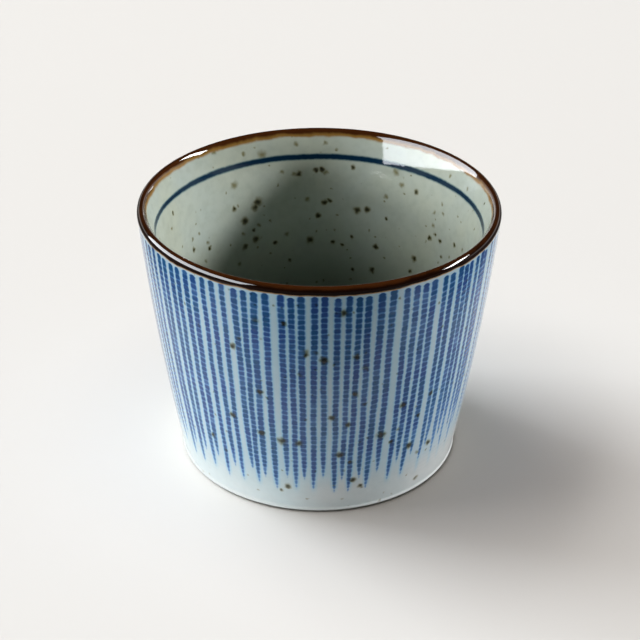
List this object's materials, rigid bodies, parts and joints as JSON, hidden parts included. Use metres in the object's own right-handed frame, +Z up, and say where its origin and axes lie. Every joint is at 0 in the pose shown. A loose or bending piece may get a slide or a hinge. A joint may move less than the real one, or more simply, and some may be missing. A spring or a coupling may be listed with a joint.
{
  "type": "soba choko cup",
  "caption": "Tapered glazed stoneware cup with an iron-brown lip, painted vertical blue strokes outside, a blue line inside and a low foot ring, for holding dipping sauce or tea.",
  "frame": {"origin": "middle of the foot, on the surface that the cup stands on", "axes": "+Z up along the axis that the cup was turned on, +X to the right of the picture's view"},
  "size_m": [0.085, 0.085, 0.0652],
  "materials": {
    "stoneware": "bare fired clay, matt and finely grained",
    "pale_glaze": "glossy pale blue-grey glaze with iron specks",
    "iron_glaze": "glossy iron-brown glaze, amber where it runs thin",
    "cobalt_line": "glossy cobalt blue under glaze"
  },
  "bodies": {
    "root": {"clay_body": "stoneware", "outer_glaze": "pale_glaze", "inner_glaze": "pale_glaze", "base_glaze": "pale_glaze", "rim_glaze": "iron_glaze", "ring_line": "cobalt_line"}
  },
  "joints": []
}
